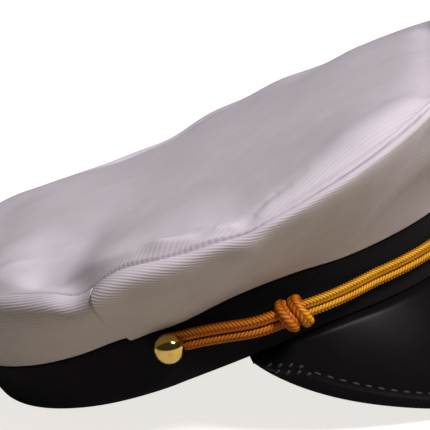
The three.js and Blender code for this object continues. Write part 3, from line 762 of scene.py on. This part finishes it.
def peak_point(share, distance):
    """The middle of the peak's wall, at a share of its half width and a distance from its root."""
    share, distance = np.broadcast_arrays(np.asarray(share, float), np.asarray(distance, float))
    turn = PEAK["half_turn"] * share
    rim = lifted(oval_point(BAND_OVAL, turn), read(BAND_HEIGHTS, 1, turn) - PEAK["wall"] / 2 - PEAK["under"])
    root = rim + oval_normal(BAND_OVAL, turn) * 0.2
    slope = np.radians(PEAK["slope"] + PEAK["bend"] / 2 * (distance / PEAK["length"] - 1))
    splay = np.radians(PEAK["splay"] * turn)
    level = distance * np.cos(slope)
    return root + np.stack([-np.sin(splay) * level, -np.cos(splay) * level, -distance * np.sin(slope)], -1)


def peak_grid():
    """The middle of the peak's wall, from its outer edge to its lip, and how far its face rises above the wall."""
    share = np.sin(np.linspace(-0.985, 0.985, PEAK_COLUMNS) * math.pi / 2)
    turn = PEAK["half_turn"] * share
    border = peak_border(share)
    field = peak_length(share) - border
    half = PEAK["wall"] / 2
    inside = -BAND_WALL - GAP - half - 0.1
    # up inside the band, and then out under its rim
    held = [(inside, PEAK["lip"]), (inside, 0.0), (inside + 0.9, -half - 0.4), (-1.0, -half - 0.8)]
    rim = lifted(oval_point(BAND_OVAL, turn), read(BAND_HEIGHTS, 1, turn))
    rows = [rim + oval_normal(BAND_OVAL, turn) * off + UP * up for off, up in held]
    rows += [peak_point(share, s * field) for s in np.linspace(0.02, 1, FIELD_ROWS)]
    rises = [0.0] * len(rows)
    # Across the border: a groove, a steep step up, a gently rounded top, and a rounded outer edge.
    for s in np.linspace(0.04, 1, BORDER_ROWS):
        rows.append(peak_point(share, field + s * border))
        crown = math.sqrt(max(0.0, 1 - (2 * (s - STEP_TO) / (1 - STEP_TO) - 1) ** 4)) if s > STEP_TO else 0.0
        edge = 0.5 * max(0.0, (s - ROUND_FROM) / (1 - ROUND_FROM)) ** 2
        rises.append(PEAK["rise"] * smooth(s, 0, STEP_TO) * (0.55 + 0.45 * crown) - edge)
    return np.stack(rows, 1)[:, ::-1], np.broadcast_to(rises[::-1], (PEAK_COLUMNS, len(rows)))


# %% The peak
peak_middle, peak_rise = peak_grid()
peak_out = grid_normals(peak_middle, False)
peak_face = peak_middle + peak_out * (PEAK["wall"] / 2 + peak_rise)[..., None]
peak_shell = wall("peak_vinyl", peak_face, (PEAK["wall"] + peak_rise)[..., None], normals=peak_out,
                  pattern=np.stack([peak_middle[..., 0], peak_middle[..., 2]], -1))


def black_vinyl():
    """Pressed black vinyl: glossy, with a faint orange-peel from the mould and a gloss that varies a little."""
    material, tree, shader = new_material("black vinyl, pressed and glossy")
    place = add_node(tree, "ShaderNodeTexCoord").outputs["Object"]
    feed(tree, shader, Base_Color=linear("#121112"), Normal=bumps(tree, noise(tree, place, 420.0, 1.0), 0.05, 0.0002),
         Roughness=remap(tree, noise(tree, place, 45.0, 5.0), 0.35, 0.75, 0.24, 0.34), Specular_IOR_Level=0.03)
    return material


peak_shell.data.materials.append(black_vinyl())

# %% [markdown]
# ## The chin cord
#
# The cord is a knitted gold cord: round, with the columns of small V-shaped stitches that a knitting machine
# makes. It is one closed loop that lies flat along the band as two strands, goes round the post of each button,
# and is held together by a knot on each side. Geometry Nodes sweep a round section along the loop and raise the
# stitches on it by a rule, so the size of a stitch is one number.

# %% Where the cord runs
SIDES = ((1, "right"), (-1, "left"))
# how thick the cord is at the sides and at the front, and the turns between which it grows thin under the knot
CORD_SIDE, CORD_FRONT, THIN_FROM, THIN_TO = 4.0, 3.4, 65, 57
CORD_PRESSED = 1.35  # its radius where the button presses on it
# turn, height above the rim
CORD_HEIGHTS = np.array([
    (0, 13.0), (23, 12.4), (44, 12.3), (54, 13.6), (68, 15.2), (75, 17.0), (82, 18.2), (90, 19.4)])
# the button's turn and radius, how high its dome and the skirt under it are, the radius of its post, and how far
# above the cord's middle line it sits
BUTTON_TURN, BUTTON_RADIUS, BUTTON_DOME, BUTTON_SKIRT, BUTTON_POST, BUTTON_UP = 87, 6.0, 5.5, 0.6, 1.2, 0.1
# the knot's turn and half width in degrees, how many half widths away the cord is back on the band, how thick the
# knot's own cord is, how far a wrap leans, how many there are, and how far and how tight they are pulled in
KNOT_TURN, KNOT_HALF_TURN, KNOT_EASE = 61.5, 5, 4.4
KNOT_CORD, KNOT_LEAN, KNOT_WRAPS, KNOT_SINK, KNOT_TIGHT = 4.9, 2.4, 2, 1.9, 0.76
KNOT_END = 150  # how many degrees past the front of a wrap the knot's cord ends


# %% The cord's path
# how many degrees before the button the cord starts to be pressed and is pressed thin, half the gap between the
# strands, and how many points a strand and a bend have
PRESS_FROM, PRESS_TO, STRAND_GAP, STRAND_POINTS, BEND_POINTS = 5, 0.5, 0.05, 260, 17


def band_facing(turn):
    """The direction square to the band's sloping face."""
    facing = np.array(oval_normal(BAND_OVAL, turn))
    facing[..., 2] = -BAND_FLARE / read(BAND_HEIGHTS, 2, turn)
    return unit(facing)


def cord_radius(turn):
    """Half the cord's thickness."""
    share = np.clip((THIN_FROM - np.abs(turn)) / (THIN_FROM - THIN_TO), 0, 1)
    return (CORD_SIDE + (CORD_FRONT - CORD_SIDE) * share) / 2


def strap_place(turn, above=0.0, off=0.0):
    """A point this far above the cord's middle line and this far off the band."""
    return band_point(turn, read(CORD_HEIGHTS, 1, turn) + above) + band_facing(turn) * np.asarray(off)[..., None]


def strap_lift(turn):
    """How far off the band the cord runs: more where a knot goes under it."""
    away = np.abs(np.abs(turn) - KNOT_TURN)
    return GAP + (KNOT_CORD + GAP) * (1 - smooth(away, KNOT_HALF_TURN, KNOT_EASE * KNOT_HALF_TURN))


def millimetres_per_degree(turn):
    """How long one degree is on the cord's middle line."""
    return float(np.linalg.norm(strap_place(turn + 0.5) - strap_place(turn - 0.5)))


def cord_loop():
    """The cord's closed path and its radius: out over the top, round a button, back below and round the other."""
    eye = BUTTON_POST + GAP + CORD_PRESSED
    scale = millimetres_per_degree(BUTTON_TURN)

    def strand(turns, side):
        """The upper strand, with side 1, or the lower one, with -1."""
        press = smooth(np.abs(turns), BUTTON_TURN - PRESS_FROM, BUTTON_TURN - PRESS_TO)
        radius = cord_radius(turns) * (1 - press) + CORD_PRESSED * press
        apart = (radius + STRAND_GAP) * (1 - press) + eye * press
        return strap_place(turns, side * apart, strap_lift(turns) + radius), radius

    def bend(side):
        """The bend round the button on the wearer's right, with side 1, or left, with -1."""
        angles = np.radians(np.linspace(80, -80, BEND_POINTS))
        turns = side * (BUTTON_TURN + eye * np.cos(angles) / scale)
        radius = np.full(BEND_POINTS, CORD_PRESSED)
        return strap_place(turns, side * eye * np.sin(angles), GAP + radius), radius

    span = np.linspace(-BUTTON_TURN, BUTTON_TURN, STRAND_POINTS)
    points, radii = zip(strand(span, 1), bend(1), strand(span[::-1], -1), bend(-1))
    return np.concatenate(points), np.concatenate(radii)


cord_path, cord_radii = cord_loop()
print("chin cord, the whole loop: %.0f mm" % lengths_along(np.vstack([cord_path, cord_path[:1]]))[-1])


# %% Helpers for Geometry Nodes trees that follow a path
def geo(tree, kind, settings=None, **inputs):
    """The first output of a new Geometry Nodes node."""
    return add_node(tree, "GeometryNode" + kind, settings, **inputs).outputs[0]


def path_tree(name, numbers):
    """Starts a tree that takes a path, these numbers and a yarn. The first number is the step along the path."""
    tree = bpy.data.node_groups.new(name, "GeometryNodeTree")
    kinds = [("Path", "Geometry", "INPUT")]
    kinds += [(label, "Int" if isinstance(start, int) else "Float", "INPUT") for label, start in numbers.items()]
    for label, kind, way in kinds + [("Yarn", "Material", "INPUT"), ("Made", "Geometry", "OUTPUT")]:
        socket = tree.interface.new_socket(label, in_out=way, socket_type="NodeSocket" + kind)
        if label in numbers:
            socket.default_value = numbers[label]
    given = add_node(tree, "NodeGroupInput").outputs
    line = geo(tree, "MeshToCurve", Mesh=given["Path"])
    return tree, given, geo(tree, "ResampleCurve", {"mode": "LENGTH"}, Curve=line, Length=given[next(iter(numbers))])


def end_tree(tree, given, shape):
    """Ends such a tree: the shape is made real and smooth and gets its yarn."""
    shape = geo(tree, "SetShadeSmooth", Geometry=geo(tree, "RealizeInstances", Geometry=shape))
    shape = geo(tree, "SetMaterial", Geometry=shape, Material=given["Yarn"])
    add_node(tree, "NodeGroupOutput", Made=shape)
    return tree


# %% The tree that knits a cord
def knitted_cord_tree():
    """Sweeps a round section along a path of edges and raises V-shaped stitches on it."""
    tree, given, line = path_tree("knitted_cord", {
        "Step": 0.0002, "Stitch length": 0.0014, "Stitch depth": 0.00052, "Sides": 32, "Stitch columns": 2})
    sums = lambda operation, *values: maths(tree, operation, *values)
    named = lambda label: geo(tree, "InputNamedAttribute", {"data_type": "FLOAT"}, Name=label)
    marked = lambda shape, label, value: geo(tree, "StoreNamedAttribute", {"data_type": "FLOAT", "domain": "POINT"},
                                             Geometry=shape, Name=label, Value=value)
    where = add_node(tree, "GeometryNodeSplineParameter").outputs
    line = marked(line, "along", where["Length"])
    ring = geo(tree, "CurvePrimitiveCircle", Resolution=given["Sides"], Radius=1.0)
    ring = marked(ring, "around", where["Factor"])
    skin = geo(tree, "CurveToMesh", Curve=line, Profile_Curve=ring, Scale=named("cord_radius"), Fill_Caps=True)

    # Each column of stitches has two arms that lean towards its middle, and each arm is a row of beads.
    column = sums("FRACT", sums("MULTIPLY", named("around"), given["Stitch columns"]))
    arm = sums("MULTIPLY", sums("ABSOLUTE", sums("SUBTRACT", column, 0.5)), 2.0)
    hump = sums("POWER", sums("SINE", sums("MULTIPLY", arm, math.pi)), 0.7)
    hump = sums("MULTIPLY_ADD", hump, 0.6, 0.4)
    phase = sums("MULTIPLY_ADD", arm, 1.5, sums("DIVIDE", named("along"), given["Stitch length"]))
    bead = sums("POWER", sums("ABSOLUTE", sums("SINE", sums("MULTIPLY", phase, math.pi))), 0.8)
    high = sums("MULTIPLY", hump, sums("MULTIPLY_ADD", bead, 0.75, 0.25))
    skin = marked(skin, "stitch", high)
    push = sums("MULTIPLY", sums("SUBTRACT", high, 0.7), given["Stitch depth"])
    push = add_node(tree, "ShaderNodeVectorMath", {"operation": "SCALE"}, i0=geo(tree, "InputNormal"), Scale=push)
    return end_tree(tree, given, geo(tree, "SetPosition", Geometry=skin, Offset=push.outputs[0]))


knit = knitted_cord_tree()
print("the tree that knits a cord has %d nodes" % len(knit.nodes))


# %% Helpers that run a tree along a path
def grown(name, source, tree, **values):
    """Runs a Geometry Nodes tree on an object and keeps the result as a plain mesh object."""
    modifier = source.modifiers.new("made_by_nodes", "NODES")
    modifier.node_group = tree
    for item in tree.interface.items_tree:
        if item.item_type == "SOCKET" and item.in_out == "INPUT" and item.name in values:
            modifier[item.identifier] = values[item.name]
    bpy.context.view_layer.update()
    seen = source.evaluated_get(bpy.context.evaluated_depsgraph_get())
    data = bpy.data.meshes.new_from_object(seen)
    data.name = name
    source.modifiers.remove(modifier)
    bpy.data.objects.remove(source)
    thing = add_object(name, data)
    print_counts(thing)
    return thing


def path_object(name, points, closed=False, **marks):
    """A chain of edges in metres. marks are numbers or vectors that its points carry under these names."""
    count = len(points)
    edges = [(i, i + 1) for i in range(count - 1)] + ([(count - 1, 0)] if closed else [])
    data = bpy.data.meshes.new(name)
    data.from_pydata(placed(points).tolist(), edges, [])
    for label, values in marks.items():
        kind, field = ("FLOAT", "value") if values.ndim == 1 else ("FLOAT_VECTOR", "vector")
        data.attributes.new(label, kind, "POINT").data.foreach_set(field, values.ravel())
    return add_object(name, data)


# %% [markdown]
# ### Gold yarn
#
# The cord is viscose yarn dyed old gold, with a silky gloss. It is darker between the stitches: painted shade read
# from the height that the nodes stored on the cord. Behind the knots the cord is a deeper orange: painted warm shade
# for the shadow that the crown casts there.

# %% The yarn and the chin cord
# How far back the cord has to be, in metres, for its painted shade to begin and to be full.
PAINTED_SHADE_FROM, PAINTED_SHADE_TO = (float(placed(strap_place(turn))[1]) for turn in (54, 58))


def gold_yarn():
    """Gold yarn with painted shade: darker between its stitches, and a deeper orange between the buttons and the
    knots.
    """
    material, tree, shader = new_material("gold viscose yarn, knitted")
    stitch = add_node(tree, "ShaderNodeAttribute", {"attribute_name": "stitch"}).outputs["Fac"]
    place = add_node(tree, "ShaderNodeTexCoord").outputs["Object"]
    # Both ramps darken the yarn where the stitches lie low, with a little random noise: painted shade between the
    # stitches.
    depth = maths(tree, "MULTIPLY_ADD", noise(tree, place, 90.0, 3.0), 0.3, stitch)
    lit_yarn = ramp(tree, depth, [(0.3, "#6e3300"), (0.75, "#bd7a00"), (1.0, "#e9b210")])
    shaded_yarn = ramp(tree, depth, [(0.3, "#5a2400"), (0.75, "#b05a00"), (1.0, "#dc8408")])
    # Behind the knots the yarn is mixed to the deeper orange ramp: painted warm shade for the crown's shadow.
    back = add_node(tree, "ShaderNodeSeparateXYZ", Vector=place).outputs["Y"]
    painted_shade = remap(tree, back, PAINTED_SHADE_FROM, PAINTED_SHADE_TO, 0.0, 1.0, "SMOOTHSTEP")
    feed(tree, shader, Base_Color=mixed(tree, painted_shade, lit_yarn, shaded_yarn),
         Normal=bumps(tree, noise(tree, place, 2600.0, 2.0), 0.35, 0.00015), Roughness=0.5, Specular_IOR_Level=0.25)
    return material


yarn = gold_yarn()
cord_line = path_object("cord_path", cord_path, closed=True, cord_radius=cord_radii / 1000)
chin_cord = grown("chin_cord_knit", cord_line, knit, Yarn=yarn)

# %% [markdown]
# ### The sliding knots
#
# Each knot is the end of the cord wound twice round both strands on a slant and tucked in behind. It is made of
# the same knitted cord, so it goes through the same tree, along a path that winds round the two strands.

# %% The knots
def knot_path(side):
    """The middle of the cord as it winds round both strands, pulled tight."""
    radius = KNOT_CORD / 2
    thick = cord_radius(KNOT_TURN + KNOT_HALF_TURN)
    apart, deep = thick - KNOT_SINK, thick + GAP + radius
    middle = KNOT_CORD + 2 * GAP + thick
    angle = np.radians(np.linspace(-KNOT_END, 360 * (KNOT_WRAPS - 1) + KNOT_END, 120))
    progress = angle / (2 * math.pi) - (KNOT_WRAPS - 1) / 2
    along = progress * (KNOT_CORD + GAP) - KNOT_LEAN * np.sin(angle)
    above = apart * np.clip(2 * np.sin(angle), -1, 1) + KNOT_TIGHT * deep * np.sin(angle)
    turn = side * (KNOT_TURN - along / millimetres_per_degree(KNOT_TURN))
    return path_object("knot_path", strap_place(turn, above, middle + deep * np.cos(angle)),
                       cord_radius=np.full(len(angle), radius / 1000))


knots = {where: grown("knot_" + where + "_knit", knot_path(side), knit, Yarn=yarn) for side, where in SIDES}

# %% [markdown]
# ## The stitches of the peak
#
# One row of even stitches, 3.2 mm long and 5 mm apart, holds the border of the peak. Near each corner two short
# rows of slanting stitches, 2.4 mm long and 3.6 mm apart, take its place. The thread is grey against the black.
# A row is one rule repeated, so Geometry Nodes walk along its path and lay an oval of thread at every step.

# %% The rows of stitches
ROW_END, GROOVE = 0.7, -0.6  # where the long row ends, and how far outside the border's inner edge it lies
CORNER_FROM, CORNER_TO, CORNER_OUTWARDS = 0.73, 0.85, (-1.6, 2.4)
CORNER_SLANT = 40  # degrees between a slanting stitch and its row
CORNER_STITCHES = {"Pitch": 0.0036, "Stitch length": 0.0024, "Thread": 0.0014}


def stitch_row_tree():
    """Lays one oval stitch after another along a path, each the way that the path's "lie" says."""
    tree, given, line = path_tree("row_of_stitches", {"Pitch": 0.005, "Stitch length": 0.0032, "Thread": 0.0011})
    bead = geo(tree, "MeshUVSphere", Segments=10, Rings=8, Radius=0.5)
    thin, long = given["Thread"], given["Stitch length"]
    size = add_node(tree, "ShaderNodeCombineXYZ", X=thin, Y=thin, Z=long).outputs[0]
    lie = geo(tree, "InputNamedAttribute", {"data_type": "FLOAT_VECTOR"}, Name="lie")
    lie = add_node(tree, "FunctionNodeAlignEulerToVector", {"axis": "Z"}, Vector=lie).outputs[0]
    return end_tree(tree, given, geo(tree, "InstanceOnPoints", Points=line, Instance=bead, Rotation=lie, Scale=size))


def grey_thread():
    """Grey polyester thread, dull where it lies in the groove."""
    material, tree, shader = new_material("grey polyester thread")
    feed(tree, shader, Base_Color=linear("#1a191b"), Roughness=0.6)
    return material


def stitch_row(name, first, last, outwards, slant, **sizes):
    """A row from one place to another, 0 being the front and -1 and 1 the peak's corners. slant is in degrees."""
    share = np.sin(np.linspace(first, last, 400) * math.pi / 2)
    line = peak_point(share, peak_length(share) - peak_border(share) + outwards)
    nearest = [np.argmin(np.linalg.norm(peak_face.reshape(-1, 3) - p, axis=1)) for p in line]
    out = peak_out.reshape(-1, 3)[nearest]
    line = line + out * (PEAK["wall"] / 2 + peak_rise.reshape(-1)[nearest] + 0.05)[:, None]  # just above the face
    along = unit(np.gradient(line, axis=0))
    lie = along * math.cos(math.radians(slant)) + np.cross(out, along) * math.sin(math.radians(slant))
    path = path_object(name + "_path", line, lie=placed(line + lie) - placed(line))
    return grown(name, path, stitch_rows, Yarn=thread, **sizes)


stitch_rows, thread = stitch_row_tree(), grey_thread()
stitches = [stitch_row("peak_stitches", -ROW_END, ROW_END, GROOVE, 0)]
for side, where in SIDES:
    for number, outwards in enumerate(CORNER_OUTWARDS, 1):
        stitches.append(stitch_row("peak_corner_stitches_%s_%d" % (where, number), side * CORNER_FROM,
                                   side * CORNER_TO, outwards, side * CORNER_SLANT, **CORNER_STITCHES))

# %% [markdown]
# ## The buttons
#
# The side buttons are domes stamped from thin brass and polished, with a rolled rim. A polished dome is a curved
# mirror: it shows the light as a bright spot, the pale floor in its lower part, and the dim room in between. Each
# is one outline turned about its post, as a stamped dome is round.

# %% The buttons
def polished_brass():
    """Polished brass, a little hazy and tarnished in places."""
    material, tree, shader = new_material("brass, stamped and polished")
    haze = noise(tree, add_node(tree, "ShaderNodeTexCoord").outputs["Object"], 400.0, 4.0)
    feed(tree, shader, Base_Color=ramp(tree, haze, [(0.35, "#dcc068"), (0.75, "#cbab50")]), Metallic=1.0,
         Roughness=remap(tree, haze, 0.3, 0.8, 0.07, 0.16))
    return material


def button_mesh(name, side, sides=96):
    """A button turned about its post: the post, the rim and the dome, and a middle point at both ends."""
    back = CORD_SIDE + 2 * GAP
    dome = [(BUTTON_RADIUS * math.cos(a), back + BUTTON_SKIRT + BUTTON_DOME * math.sin(a))
            for a in np.radians(np.linspace(0, 90, 26))[:-1]]
    rim = [(BUTTON_RADIUS - 0.5, back), (BUTTON_RADIUS - 0.15, back + 0.08), (BUTTON_RADIUS, back + 0.35)]
    outline = [(BUTTON_POST, GAP), (BUTTON_POST, back)] + rim + dome
    seat = strap_place(side * BUTTON_TURN, BUTTON_UP)
    ahead = band_facing(side * BUTTON_TURN)
    u = unit(np.cross(ahead, UP))
    v = np.cross(ahead, u)
    turns = np.arange(sides)[:, None] * 2 * math.pi / sides
    points = [seat + ahead * h + r * (np.cos(turns) * u + np.sin(turns) * v) for r, h in outline]
    points += [[seat + ahead * GAP], [seat + ahead * (back + BUTTON_SKIRT + BUTTON_DOME)]]
    low = len(outline) * sides
    faces = []
    for i in range(sides):
        j = (i + 1) % sides
        faces += [(r + i, r + j, r + sides + j, r + sides + i) for r in range(0, low - sides, sides)]
        faces += [(low, j, i), (low - sides + i, low - sides + j, low + 1)]
    return mesh_of(name, placed(np.concatenate(points)), faces)


brass = polished_brass()
buttons = {where: button_mesh("button_" + where + "_brass", side) for side, where in SIDES}
for button in buttons.values():
    button.data.materials.append(brass)

# %% [markdown]
# ## Every piece takes its place
#
# Each finished piece rides on the cap's only body and takes the place of its CAD solid, which is hidden.

# %% Bodies and nodes
PIECES = [
    (crown_top, "crown_top", "white_twill"), (side_front, "crown_side_front", "white_twill"),
    (side_back, "crown_side_back", "white_twill"), (band_hoop, "band", "black_band"),
    (peak_shell, "peak", "black_vinyl"), (chin_cord, "chin_cord", "gold_cord"),
    (knots["right"], "knot_right", "gold_cord"), (knots["left"], "knot_left", "gold_cord"),
    (buttons["right"], "button_right", "brass"), (buttons["left"], "button_left", "brass")]
for piece, node, slot in PIECES:
    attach(piece, "root")
    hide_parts(node)
for row in stitches:
    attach(row, "root")


# %% [markdown]
# ## Floor, light and camera
#
# The cap stands on a plain pale floor. One soft light hangs high in front of the cap, so that the top is bright
# and the sides fall into shade. The floor gives back a weak warm light, which tints that shade, and the room
# gives almost none.

# %% Floor, light and camera
LIGHT_PLACE, LIGHT_AIM, LIGHT_SIZE, LIGHT_POWER, LIGHT_COLOUR = (-0.76, -1.75, 2.34), (0, 0, 0.05), 1.0, 90, "#fff5fc"
CAMERA_PLACE, CAMERA_AIM, CAMERA_ROLL = (-0.7335, -0.1648, 0.3276), (-0.0007, 0.0114, 0.06575), -5.33
LENS, SENSOR = 163.8, 36


def studio_floor():
    """A floor that looks pale but gives back only a warm, weaker light, as if dark cards stood out of view."""
    data = bpy.data.meshes.new("floor")
    data.from_pydata([(-6, -6, 0), (6, -6, 0), (6, 6, 0), (-6, 6, 0)], [], [(0, 1, 2, 3)])
    material, tree, shader = new_material("painted floor, matt")
    ray = add_node(tree, "ShaderNodeLightPath").outputs
    # A lightbox shines through it from below, which only the eye sees.
    feed(tree, shader, Base_Color=mixed(tree, ray["Is Diffuse Ray"], linear("#f4f1ee"), linear("#a19982")),
         Emission_Strength=ray["Is Camera Ray"], Emission_Color=linear("#e6e2df"), Roughness=0.9)
    data.materials.append(material)
    return add_object("floor", data)


def aimed(place, aim):
    """The turn of a light or a camera at one place that looks at another."""
    return (Vector(aim) - Vector(place)).to_track_quat("-Z", "Y")


floor = studio_floor()

window = bpy.data.lights.new("window", "AREA")
window.shape, window.size, window.energy = "DISK", LIGHT_SIZE, LIGHT_POWER
window.color = linear(LIGHT_COLOUR)[:3]
light = add_object("window", window)
light.location, light.rotation_euler = LIGHT_PLACE, aimed(LIGHT_PLACE, LIGHT_AIM).to_euler()

# The room looks white but gives almost no light.
world = bpy.data.worlds.new("room")
world.use_nodes = True
room = world.node_tree
seen = add_node(room, "ShaderNodeLightPath").outputs["Is Camera Ray"]
feed(room, room.nodes["Background"], Color=linear("#ffffff"), Strength=maths(room, "MULTIPLY_ADD", seen, 0.84, 0.04))

lens = bpy.data.cameras.new("camera")
lens.lens, lens.sensor_width, lens.clip_start = LENS, SENSOR, 0.05
camera = add_object("camera", lens)
camera.location = CAMERA_PLACE
roll = Matrix.Rotation(math.radians(CAMERA_ROLL), 3, "Z")
camera.rotation_euler = (aimed(CAMERA_PLACE, CAMERA_AIM).to_matrix() @ roll).to_euler()

scene = bpy.context.scene
scene.world, scene.camera, scene.view_settings.view_transform = world, camera, "Standard"
